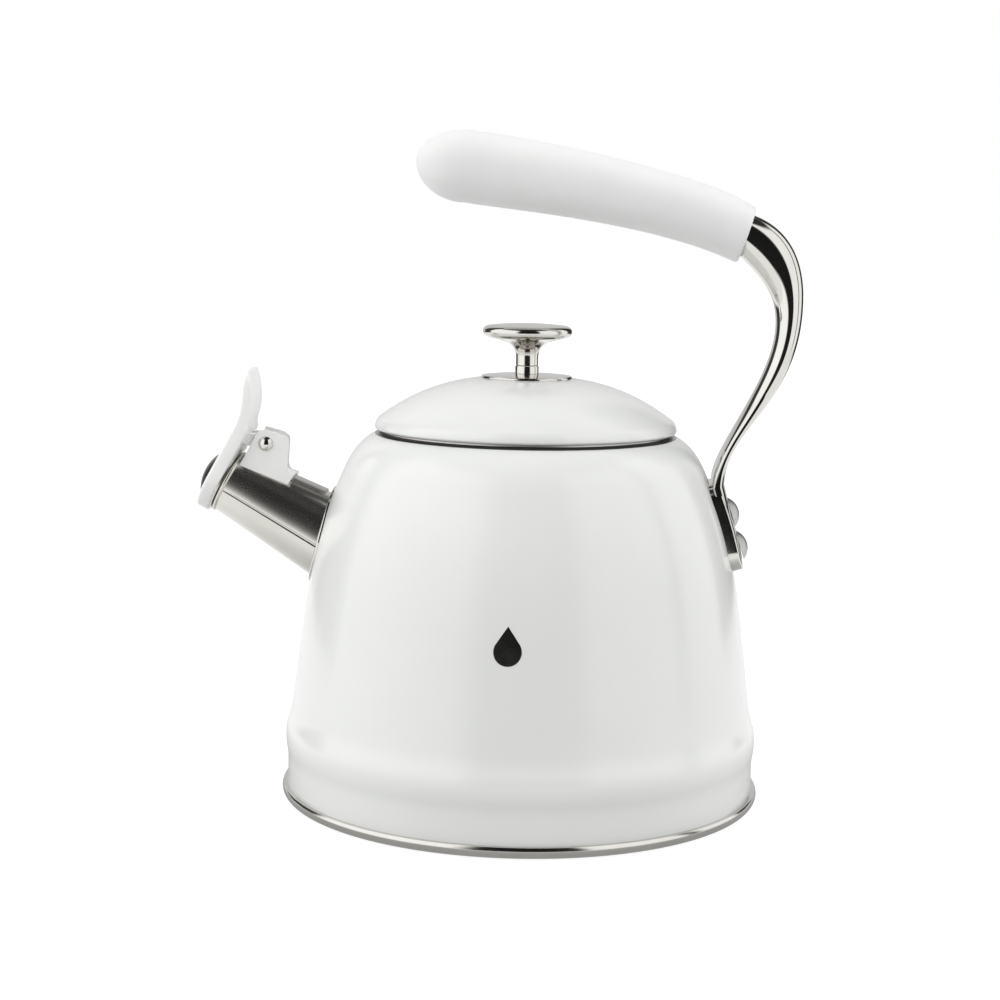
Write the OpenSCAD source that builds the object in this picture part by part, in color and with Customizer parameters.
// Stovetop whistling kettle with a side-mounted loop handle.
// Millimetres. Origin on the hob surface at the centre of the base, +Z up.
// The spout points to -X and the handle rises on the +X side.

/* [Body] */
// Outer diameter of the polished ring around the base
ring_d = 200; // [198:0.5:202]
// Height of the shoulder, where the body turns in towards the lid
shoulder_z = 137; // [135:0.5:139]
// Outer radius of the body at the shoulder
shoulder_r = 75; // [74:0.5:76]
// Thickness of the enamelled steel
wall = 1; // [0.8:0.1:1.2]
// Inner radius of the mouth under the lid
mouth_r = 56; // [54:0.5:57]

/* [Spout] */
// Slope of the spout above the horizontal, in degrees
spout_slope = 28; // [26:0.5:30]
// Distance of the spout's mouth from the kettle's axis
spout_reach = 125.3; // [123:0.1:127]
// Height of the centre of the spout's mouth
spout_z = 129; // [128:0.5:130]
// Outer radius of the spout at its mouth
spout_tip_r = 13; // [12.5:0.1:13.2]
// Growth of the spout's radius for each millimetre towards the body
spout_taper = 0.096; // [0.09:0.001:0.1]

/* [Whistle cap] */
// Outer radius of the cap's ring
cap_r = 15; // [14.6:0.1:15.4]
// Width of the thumb tab
tab_w = 24; // [22:0.5:26]
// Radius of the hinge pin
pin_r = 1.6; // [1.5:0.05:1.7]
// Running clearance between the pin and the cap's ears
pin_gap = 0.05; // [0.03:0.01:0.08]

/* [Handle] */
// Width of the strap across the hand
strap_w = 15; // [14:0.5:16]
// Width of the pad that is riveted to the body
pad_w = 30; // [28:0.5:32]
// Thickness of the pad
pad_t = 4.4; // [4.2:0.1:4.6]
// Width of the grip
grip_w = 27; // [25:0.5:29]
// Thickness of the soft sleeve on the grip
sleeve_t = 2.5; // [2:0.1:3]

/* [Lid] */
// Radius of the steel disc under the knob
disc_r = 18.8; // [18:0.1:19.5]
// Height of the knob above the lid's crown
knob_h = 21.6; // [20:0.1:23]
// Depth of the skirt below the mouth's lip
skirt_h = 7; // [6:0.5:8]

/* [Hidden] */
$fn = 96;

white = "white";
steel = "silver";
soft_white = "gainsboro";

// A hair's breadth between pieces of one body that lie against each other
touch = 0.03;

// ---- Curves ----------------------------------------------------------

// Point of a cubic curve with control points p, for t from 0 to 1
function curve_at(p, t) =
    pow(1 - t, 3)*p[0] + 3*t*pow(1 - t, 2)*p[1] + 3*t*t*(1 - t)*p[2] + pow(t, 3)*p[3];

// Direction of the same curve
function direction_at(p, t) =
    pow(1 - t, 2)*(p[1] - p[0]) + 2*t*(1 - t)*(p[2] - p[1]) + t*t*(p[3] - p[2]);

// Points of a curve moved sideways by d, to the right of its direction
function offset_curve(p, d, t0, t1, steps) = [
    for (i = [0:steps])
        let (t = t0 + (t1 - t0)*i/steps, v = direction_at(p, t))
        curve_at(p, t) + d*[v[1], -v[0]]/norm(v)
];

function reversed(list) = [for (i = [len(list) - 1:-1:0]) list[i]];

// Outline between two sideways offsets of one curve
function band(p, d0, d1, t0, t1, steps) = concat(
    offset_curve(p, d0, t0, t1, steps),
    reversed(offset_curve(p, d1, t0, t1, steps))
);

// ---- Profiles of the body and the lid, as (radius, height) ------------

foot_r = ring_d/2 - 2.3;
ridge_r = foot_r + 0.9;
ridge_z = 25.5;
waist = [foot_r - 1.7, 38];
shoulder = [shoulder_r, shoulder_z];
lip = [mouth_r + 5.5, shoulder_z + 15];
seat_z = 5;
neck_z = shoulder_z + 7;

ridge_rise = [[foot_r, 15], [foot_r, 20], [ridge_r, 20.5], [ridge_r, ridge_z]];
ridge_fall = [[ridge_r, ridge_z], [ridge_r, 31], [waist[0] + 1, 32], waist];
side = [waist, waist + [-7, 58.5], shoulder + [11.5, -26], shoulder];
shoulder_turn = [shoulder, shoulder + [-2.5, 5.5], lip + [7.5, -3], lip];
lip_roll = [lip, lip + [-3, 1.2], [mouth_r, lip[1] + 0.4], [mouth_r, lip[1] - 4]];

// Outer face of the body moved outwards by d, from the foot to the mouth
function body_profile(d) = concat(
    [[foot_r + d, seat_z]],
    offset_curve(ridge_rise, d, 0, 1, 5),
    offset_curve(ridge_fall, d, 0.2, 1, 5),
    offset_curve(side, d, 0.06, 1, 16),
    offset_curve(shoulder_turn, d, 0.12, 1, 8),
    offset_curve(lip_roll, d, 0.15, 1, 7),
    [[mouth_r - d, neck_z]]
);

crown_z = lip[1] + 24;
lid_edge = [mouth_r + 5.3, lip[1] + 6];
lid_under = [lid_edge[0] - 0.1, lip[1] + 1.3];
dome = [[0, crown_z], [26, crown_z], [lid_edge[0] - 18.8, crown_z - 4], lid_edge];
rim = [lid_edge, lid_edge + [1.5, -2.2], lid_under + [2, 0], lid_under];

// Outer face of the lid moved inwards by d, from the crown to the inner edge
function lid_profile(d) = concat(
    offset_curve(dome, d, 0, 1, 20),
    offset_curve(rim, d, 0.12, 1, 8),
    [[mouth_r + 2, lid_under[1] + d]]
);

// ---- Body -------------------------------------------------------------

module spout_frame() {
    translate([-spout_reach, 0, spout_z]) rotate([0, spout_slope - 90, 0]) children();
}

function spout_r(z) = spout_tip_r - spout_taper*z;

// Solid cone along the spout between two distances from its mouth
module spout_cone(z0, z1, extra) {
    translate([0, 0, z0])
        cylinder(h = z1 - z0, r1 = spout_r(z0) + extra, r2 = spout_r(z1) + extra);
}

spout_root = -60;

module body_shell() {
    color(white) difference() {
        rotate_extrude()
            polygon(concat(body_profile(0), reversed(body_profile(-wall))));
        spout_frame() spout_cone(spout_root, -30, touch);
        rivet_places() translate([0, 0, -5]) cylinder(r = shank_r + touch, h = 10);
    }
}

pan_t = 0.8;
disc_inner_r = 83;
bead_r = 3;
bead_z = bead_r + 0.2;
flange_t = 0.8;

module base_pan() {
    inner = foot_r - wall - touch;
    color(steel) rotate_extrude() polygon([
        [0, seat_z], [inner, seat_z], [inner, seat_z + 5],
        [inner - pan_t, seat_z + 5], [inner - pan_t, seat_z + pan_t], [0, seat_z + pan_t]
    ]);
}

module base_ring() {
    bead_c = ring_d/2 - bead_r;
    color(steel) rotate_extrude() difference() {
        union() {
            translate([bead_c, bead_z]) circle(r = bead_r);
            translate([disc_inner_r + 2, seat_z - flange_t])
                square([bead_c - disc_inner_r - 2, flange_t]);
        }
        translate([bead_c - 2*bead_r, seat_z]) square([2*bead_r + foot_r + touch - bead_c, 9]);
    }
}

cap_sheet = 0.8;

module heat_disc() {
    color("lightgray") translate([0, 0, cap_sheet])
        cylinder(r = disc_inner_r, h = seat_z - cap_sheet);
}

module base_cap() {
    inner = disc_inner_r + touch;
    color(steel) rotate_extrude() polygon([
        [0, 0], [inner, 0], [inner + cap_sheet, 1], [inner + cap_sheet, seat_z - flange_t],
        [inner, seat_z - flange_t], [inner, cap_sheet], [0, cap_sheet]
    ]);
}

// ---- Spout ------------------------------------------------------------

tube_t = 1;
roll_r = 0.9;

module body_solid(d) {
    rotate_extrude() polygon(concat([[0, seat_z]], body_profile(d), [[0, neck_z]]));
}

module spout_tube() {
    color(steel) difference() {
        spout_frame() difference() {
            union() {
                spout_cone(spout_root, 0, 0);
                rotate_extrude() translate([spout_tip_r, -roll_r]) circle(r = roll_r);
            }
            spout_cone(spout_root - 1, 1, -tube_t);
        }
        body_solid(-wall);
    }
}

collar_r = 20.3;
collar_t = 0.9;

module spout_collar() {
    color(steel) difference() {
        intersection() {
            rotate_extrude() polygon(band(side, touch, collar_t, 0.5, 0.99, 12));
            spout_frame() translate([0, 0, -55]) cylinder(r = collar_r, h = 40);
        }
        spout_frame() spout_cone(spout_root, -30, touch);
    }
}

strip_t = 0.9;
strip_w = 12;

module bracket_strip() {
    color(steel) spout_frame() difference() {
        intersection() {
            spout_cone(-39, -3, strip_t);
            translate([0, -strip_w/2, -39]) cube([30, strip_w, 36]);
        }
        spout_cone(-40, -2, touch);
    }
}

// ---- Hinge ------------------------------------------------------------

pin_x = 23.1;
pin_z = -7.8;
cheek_y = 9;
cheek_t = 1.2;
saddle_t = 1.2;
cheek_outline = [
    [-2.4, 6], [-2.4, 26], [-3.6, 27.4], [-6.5, 28.5], [-13.2, 30.1], [-14.8, 30],
    [-15.8, 28.6], [-19.4, 20.4], [-20.6, 18.4], [-24, 17], [-24, 6]
];

// The far cheek is a little lower and shorter
far_outline = [for (p = cheek_outline) [min(p[0] + 2, cheek_outline[0][0]), p[1] - 1.2]];

module cheek(y, outline) {
    spout_frame() translate([0, y + cheek_t, 0]) rotate([90, 0, 0])
        linear_extrude(cheek_t) polygon([for (p = outline) [p[1], p[0]]]);
}

// Places its children on the hinge, with Z along the pin, from the near side
module hinge_frame() {
    spout_frame() translate([pin_x, 0, pin_z]) rotate([90, 0, 0]) children();
}

module hinge_bracket() {
    over_strip = strip_t + touch;
    color("whitesmoke") difference() {
        union() {
            spout_frame() difference() {
                intersection() {
                    spout_cone(-24, -2.4, over_strip + saddle_t);
                    translate([0, -cheek_y, -24]) cube([30, 2*cheek_y, 21.6]);
                }
                spout_cone(-30, 2, over_strip);
            }
            cheek(-cheek_y, cheek_outline);
            cheek(cheek_y - cheek_t, far_outline);
        }
        spout_frame() spout_cone(-30, 2, touch);
        hinge_frame() cylinder(r = pin_r + touch/2, h = 40, center = true);
    }
}

// Domed head with a flat underside at z = 0
module dome_head(r, h) {
    ball_r = (r*r + h*h)/(2*h);
    rotate_extrude() intersection() {
        translate([0, h - ball_r]) circle(r = ball_r);
        square([r + 1, h]);
    }
}

pin_head_r = 3.2;
pin_head_h = 1.8;

module hinge_pin() {
    color(steel) hinge_frame() {
        translate([0, 0, -cheek_y - 1.2]) cylinder(r = pin_r, h = 2*cheek_y + 1.2);
        translate([0, 0, cheek_y]) dome_head(pin_head_r, pin_head_h);
    }
}

module pin_cap() {
    color(steel) hinge_frame() mirror([0, 0, 1]) translate([0, 0, cheek_y]) difference() {
        dome_head(pin_head_r, pin_head_h + 0.2);
        translate([0, 0, -1]) cylinder(r = pin_r + touch, h = 1 + 1.2 + touch);
    }
}

// ---- Swept solids -------------------------------------------------------

// Closed solid through rings of points, all with the same number of points
module skin(rings) {
    n = len(rings[0]);
    last = len(rings) - 1;
    polyhedron(
        points = [for (ring = rings) for (p = ring) p],
        faces = concat(
            [[for (i = [0:n - 1]) i]],
            [for (k = [0:last - 1]) for (i = [0:n - 1]) let (j = (i + 1) % n)
                [k*n + i, (k + 1)*n + i, (k + 1)*n + j, k*n + j]],
            [[for (i = [n - 1:-1:0]) last*n + i]]
        )
    );
}

// Oval ring in a plane that holds Y, from point a to point b of the XZ plane.
// A power below 1 makes the oval squarer.
function oval(a, b, width, sides, power) = [
    for (i = [0:sides - 1])
        let (
            angle = 360*(i + 0.5)/sides,
            c = sign(cos(angle))*pow(abs(cos(angle)), power),
            s = sign(sin(angle))*pow(abs(sin(angle)), power),
            m = (a + b)/2 + c*(b - a)/2
        )
        [m[0], s*width/2, m[1]]
];

// ---- Return spring ------------------------------------------------------

wire_r = 0.4;
coil_r = 2.6;
coil_turns = 6.25;
coil_pitch = 1.05;
coil_steps = 16;

// Wire of the spring in the hinge frame: a leg on the saddle, the coil, a leg on the cap
saddle_leg = 6.4;
cap_leg = 8.3;
coil_half = coil_turns*coil_pitch/2;
spring_points = concat(
    [[-saddle_leg, -coil_r, -coil_half], [-saddle_leg/2, -coil_r, -coil_half]],
    [for (i = [0:coil_turns*coil_steps])
        let (angle = 360*i/coil_steps - 90)
        [coil_r*cos(angle), coil_r*sin(angle), coil_pitch*i/coil_steps - coil_half]],
    [[coil_r, 1.2, coil_half], [1.2, cap_leg/2, coil_half], [-1.2, cap_leg, coil_half]]
);

function unit(v) = v/norm(v);
function wire_ring(points, k, sides) =
    let (
        before = points[max(k - 1, 0)],
        after = points[min(k + 1, len(points) - 1)],
        along = unit(after - before),
        across = unit(cross(along, [0, 0, 1])),
        up = cross(across, along)
    )
    [for (i = [0:sides - 1]) points[k] + wire_r*(cos(360*i/sides)*across + sin(360*i/sides)*up)];

module return_spring() {
    color("gray") hinge_frame()
        skin([for (k = [0:len(spring_points) - 1]) wire_ring(spring_points, k, 8)]);
}

// ---- Whistle cap ----------------------------------------------------------

ring_back = 1;
ring_front = 6.8;
ring_bore = 11;
ear_y0 = 4.8;
ear_t = 2.6;
ear_boss = 3.7;
tab_end = 47.2;
tab_corner = 6;

// Side view of the lever as (height along the tab, distance in front of the mouth)
tab_front = [[25, ring_front], [33, ring_front + 0.6], [37, ring_front + 4], [tab_end - 1, 13.6]];
tab_back = [[27.5, 3.1], [33.5, 3.6], [38, 5.6], [tab_end, 12.4]];
lever_outline = concat(
    [[-cap_r, ring_back], [-cap_r, ring_front - 0.8], [-cap_r + 0.8, ring_front]],
    offset_curve(tab_front, 0, 0, 1, 8),
    reversed(offset_curve(tab_back, 0, 0, 1, 8)),
    [[24, ring_back]]
);

module lever_side(y0, thickness, outline) {
    translate([0, y0 + thickness, 0]) rotate([90, 0, 0]) linear_extrude(thickness) polygon(outline);
}

// The ring and the tab with its rounded corners, seen along the spout
module lever_plan() {
    half = tab_w/2;
    tab_x = tab_end - tab_corner;
    circle(r = cap_r);
    polygon([[4, -cap_r + 0.55], [tab_x, -half], [tab_x, half], [4, cap_r - 0.55]]);
    for (y = [tab_corner - half, half - tab_corner]) translate([tab_x, y]) circle(r = tab_corner);
    translate([tab_x - 1, tab_corner - half]) square([tab_corner + 1, tab_w - 2*tab_corner]);
}

module cap_lever() {
    color(soft_white) difference() {
        union() {
            spout_frame() intersection() {
                lever_side(-20, 40, lever_outline);
                linear_extrude(20) lever_plan();
            }
            for (side_y = [-1, 1]) hinge_frame() translate([0, 0, side_y*(ear_y0 + ear_t/2)])
                linear_extrude(ear_t, center = true) {
                    circle(r = ear_boss);
                    polygon([[-5, 9], [-ear_boss, 0], [ear_boss, 0], [-0.4, 10]]);
                }
        }
        spout_frame() cylinder(r = ring_bore, h = 20);
        hinge_frame() cylinder(r = pin_r + pin_gap, h = 40, center = true);
    }
}

plate_t = 0.7;
plate_gap = 0.3;

module cap_plate() {
    color(steel) spout_frame() translate([0, 0, plate_gap]) difference() {
        cylinder(r = 14.2, h = plate_t);
        translate([0, 0, -1]) cylinder(r = 8.5, h = 3);
    }
}

whistle_sheet = 0.6;
whistle_r = ring_bore - touch;
whistle_hole_r = 1.6;
cup_h = 3.6;

module whistle_cup() {
    color(steel) spout_frame() translate([0, 0, ring_back]) difference() {
        cylinder(r = whistle_r, h = cup_h);
        translate([0, 0, whistle_sheet]) cylinder(r = whistle_r - whistle_sheet, h = cup_h);
        translate([0, 0, -1]) cylinder(r = whistle_hole_r, h = 3);
    }
}

dome_h = 3.6;

module whistle_dome() {
    base_z = ring_back + cup_h;
    side_h = ring_front - base_z;
    color("dimgray") spout_frame() translate([0, 0, base_z]) difference() {
        union() {
            cylinder(r = whistle_r, h = side_h);
            translate([0, 0, side_h]) dome_head(whistle_r, dome_h);
        }
        translate([0, 0, -1]) cylinder(r = whistle_r - whistle_sheet, h = side_h + 1);
        translate([0, 0, side_h - touch/2]) dome_head(whistle_r - whistle_sheet, dome_h - whistle_sheet);
        cylinder(r = whistle_hole_r, h = 20);
    }
}

// ---- Handle ---------------------------------------------------------------

shank_r = 2.5;
rivet_head_r = 6.3;
rivet_head_h = 3.2;
// Room round the rivets in the pad
rivet_gap = 0.1;
tail_r = 4.2;
tail_h = 2;
rivet_heights = [106.2, 119.9];
// Angle by which the body's wall leans in behind the pad
wall_lean = 17;

// Radius of the body's outer face at height z, read off the side curve
side_by_height = [for (p = offset_curve(side, 0, 0, 1, 60)) [p[1], p[0]]];
function wall_at(z) = lookup(z, side_by_height);

// Places its children on the body's outer face at height z, with Z pointing outwards
module on_wall(z) {
    translate([wall_at(z), 0, z]) rotate([0, 90 - wall_lean, 0]) children();
}

module rivet_places() {
    for (z = rivet_heights) on_wall(z) children();
}

pad_z = 116;
pad_len = 38;
pad_corner = 8;

// Rounded rectangle, with X running down the wall
module pad_outline() {
    x = pad_len/2;
    y = pad_w/2;
    c = pad_corner;
    for (cx = [c - x, x - c], cy = [c - y, y - c]) translate([cx, cy]) circle(r = c);
    square([pad_len - 2*c, pad_w], center = true);
    square([pad_len, pad_w - 2*c], center = true);
}

strap_foot_z = 112;

grip_inner = [[85.5, 227.3], [96, 218], [101.5, 211], [101.5, 199]];
waist_inner = [[101.5, 199], [101.5, 174.5], [74, 146], [78.6, 132]];
grip_outer = [[91.6, 243.2], [104, 238.5], [112.5, 228], [112.5, 208]];
waist_outer = [[112.5, 208], [112.5, 166], [82.9, 157.4], [82.8, 133.4]];

// The strap widens into the pad: 0 at the grip, 1 at the foot
function flare(u) = pow(max(0, (u - 0.4)/0.6), 1.2);
wrap_r = 80;

// Strap section: oval at the grip, wider, squarer and bent round the body at the foot
function strap_ring(a, b, u) = [
    for (p = oval(a, b, strap_w + (pad_w - 1 - strap_w)*flare(u), 20, 1 - 0.7*flare(u)))
        [p[0] - flare(u)*p[1]*p[1]/(2*wrap_r), p[1], p[2]]
];

module strap_sweep() {
    foot_inner = [wall_at(strap_foot_z) + 1, strap_foot_z];
    foot_outer = foot_inner + [3, 1];
    steps = 14;
    skin(concat(
        [strap_ring(foot_inner, foot_outer, 1)],
        [for (i = [steps:-1:1]) let (t = i/steps)
            strap_ring(curve_at(waist_inner, t), curve_at(waist_outer, t), t)],
        [for (i = [steps:-1:0]) let (t = i/steps)
            strap_ring(curve_at(grip_inner, t), curve_at(grip_outer, t), 0)]
    ));
}

tang_t = 5;
tang_w = 9;
tang_len = 95;
tang_slope = 17;

module tang_frame() {
    translate([91, 0, 234.5]) rotate([0, tang_slope, 0]) children();
}

module handle_strap() {
    color(steel) difference() {
        union() {
            strap_sweep();
            intersection() {
                rotate_extrude() polygon(band(side, touch, pad_t, 0.3, 0.995, 18));
                on_wall(pad_z) translate([0, 0, -8]) linear_extrude(20) pad_outline();
            }
            tang_frame() translate([-tang_len, -tang_w/2, -tang_t/2]) cube([tang_len, tang_w, tang_t]);
        }
        rivet_places() translate([0, 0, -3]) cylinder(r = shank_r + rivet_gap, h = 20);
        // Flat seats for the rivet heads
        rivet_places() translate([0, 0, pad_t]) cylinder(r = rivet_head_r + rivet_gap, h = 10);
        tang_frame() translate([-pin_along, 0, 0]) rotate([90, 0, 0])
            cylinder(r = grip_pin_r + touch, h = 40, center = true);
    }
}

washer_r = 5.5;
washer_t = 1;
washer_sink = 0.45;

module handle_rivets() {
    tail = wall + washer_sink + washer_t;
    color(steel) rivet_places() {
        translate([0, 0, -tail - 1]) cylinder(r = shank_r, h = tail + pad_t + 2);
        translate([0, 0, pad_t + touch]) dome_head(rivet_head_r, rivet_head_h);
        translate([0, 0, -tail - touch]) mirror([0, 0, 1]) dome_head(tail_r, tail_h);
    }
}

module rivet_washers() {
    color(steel) rivet_places() translate([0, 0, -wall - washer_sink - washer_t]) difference() {
        cylinder(r = washer_r, h = washer_t);
        translate([0, 0, -1]) cylinder(r = shank_r + touch, h = 4);
    }
}

// ---- Grip -------------------------------------------------------------------

// Upper and lower edges of the grip in the XZ plane, from its free end to the strap
grip_top = [[-27, 275.8], [-13, 275.8], [73, 260.5], [92.2, 246]];
grip_low = [[-27, 246.4], [-10, 243.6], [50, 240], [84.9, 223.8]];
nose_len = 20;

// Ring of the grip's surface moved inwards by d, at t along its length
function grip_ring(t, d) =
    let (a = curve_at(grip_low, t), b = curve_at(grip_top, t), v = unit(b - a))
    oval(a + d*v, b - d*v, grip_w - 2*d, 24, 0.9);

// Ring of the rounded nose: u goes from 0 at the grip to 1 at the tip
function nose_ring(u, d) =
    let (
        a = grip_low[0], b = grip_top[0], m = (a + b)/2,
        h = (b[1] - a[1])/2 - d, k = sqrt(max(1 - u*u, 0.0004)),
        x = a[0] - (nose_len - d)*u, lift = 1.6*u*u
    )
    oval([x, m[1] + lift - h*k], [x, m[1] + lift + h*k], (grip_w - 2*d)*k, 24, 0.9);

nose_steps = [1, 0.985, 0.94, 0.86, 0.74, 0.58, 0.4, 0.2];
function grip_rings(d, t0, t1) = concat(
    [for (u = nose_steps) nose_ring(u, d)],
    [for (i = [0:14]) grip_ring(t0 + (t1 - t0)*i/14, d)]
);

core_end = 0.97;

module grip_sleeve() {
    inner = grip_rings(sleeve_t, 0, 1);
    color(white) skin(concat(inner, reversed(grip_rings(0, 0, 1))));
}

pin_along = 45;
grip_pin_r = 1.5;

module grip_core() {
    color("lightgray") difference() {
        skin(reversed(grip_rings(sleeve_t + 0.15, 0, core_end)));
        tang_frame() translate([-tang_len - 1, -tang_w/2 - touch, -tang_t/2 - touch])
            cube([tang_len + 20, tang_w + 2*touch, tang_t + 2*touch]);
        tang_frame() translate([-pin_along, 0, 0]) rotate([90, 0, 0])
            cylinder(r = grip_pin_r + touch, h = 40, center = true);
    }
}

module grip_pin() {
    color(steel) tang_frame() translate([-pin_along, 0, 0]) rotate([90, 0, 0])
        cylinder(r = grip_pin_r, h = grip_w - 2*sleeve_t - 2, center = true);
}

// ---- Lid ----------------------------------------------------------------------

screw_r = 2;

module lid_shell() {
    color(white) difference() {
        rotate_extrude()
            polygon(concat(lid_profile(0), reversed(lid_profile(wall))));
        translate([0, 0, crown_z - 5]) cylinder(r = screw_r + 0.1, h = 10);
    }
}

skirt_gap = 0.6;
skirt_t = 0.8;

module lid_skirt() {
    outer = mouth_r - skirt_gap;
    top = lid_under[1] - touch;
    under = top - 0.7;
    color(steel) rotate_extrude() polygon([
        [outer, lip[1] - skirt_h], [outer, under], [mouth_r + 4, under], [mouth_r + 4, top],
        [outer - skirt_t, top], [outer - skirt_t, lip[1] - skirt_h]
    ]);
}

disc_t = 0.9;

module knob_plate() {
    color(steel) difference() {
        intersection() {
            rotate_extrude() polygon(band(dome, -disc_t, -touch, 0, 0.3, 12));
            translate([0, 0, crown_z - 10]) cylinder(r = disc_r, h = 20);
        }
        translate([0, 0, crown_z - 5]) cylinder(r = screw_r + 0.1, h = 10);
    }
}

plate_top = crown_z + disc_t;
stem_r = 4.65;
collar_h = 3.2;

module knob_collar() {
    color(steel) translate([0, 0, plate_top + touch]) difference() {
        cylinder(r = stem_r + 0.25, h = collar_h);
        translate([0, 0, -1]) cylinder(r = screw_r + 0.1, h = 10);
    }
}

knob_r = 18.8;
knob_edge = 3;

module knob() {
    foot = plate_top + collar_h + 2*touch;
    top = crown_z + knob_h;
    flare = [[stem_r, top - 14], [stem_r, top - 9], [8, top - 7.6], [knob_r - 4, top - 6.2]];
    edge = [[knob_r - 4, top - 6.2], [knob_r + 0.8, top - 5.4], [knob_r + 0.8, top - 1.4], [knob_r - 3, top - 0.9]];
    color(steel) difference() {
        rotate_extrude() polygon(concat(
            [[0, foot], [stem_r, foot]],
            offset_curve(flare, 0, 0, 1, 12),
            offset_curve(edge, 0, 0.08, 1, 12),
            [[knob_r*0.45, top - 0.2], [0, top]]
        ));
        translate([0, 0, foot - 1]) cylinder(r = screw_r + touch, h = 11);
    }
}

washer_z = crown_z - wall;

module knob_washer() {
    color("dimgray") translate([0, 0, washer_z - 1 - 0.3]) difference() {
        cylinder(r = 6.5, h = 1);
        translate([0, 0, -1]) cylinder(r = screw_r + 0.1, h = 3);
    }
}

module knob_screw() {
    head_top = washer_z - 1 - 0.3 - touch;
    color(steel) {
        translate([0, 0, head_top]) cylinder(r = screw_r, h = plate_top + collar_h + 9 - head_top);
        difference() {
            translate([0, 0, head_top - 2.4]) cylinder(r = 4, h = 2.4);
            for (turn = [0, 90]) rotate([0, 0, turn])
                translate([-2.4, -0.5, head_top - 2.5]) cube([4.8, 1, 1.3]);
        }
    }
}

body_shell();
base_pan();
base_ring();
heat_disc();
base_cap();
spout_tube();
spout_collar();
bracket_strip();
hinge_bracket();
hinge_pin();
pin_cap();
return_spring();
cap_lever();
cap_plate();
whistle_cup();
whistle_dome();
handle_strap();
handle_rivets();
rivet_washers();
grip_core();
grip_sleeve();
grip_pin();
lid_shell();
lid_skirt();
knob_plate();
knob_collar();
knob();
knob_screw();
knob_washer();
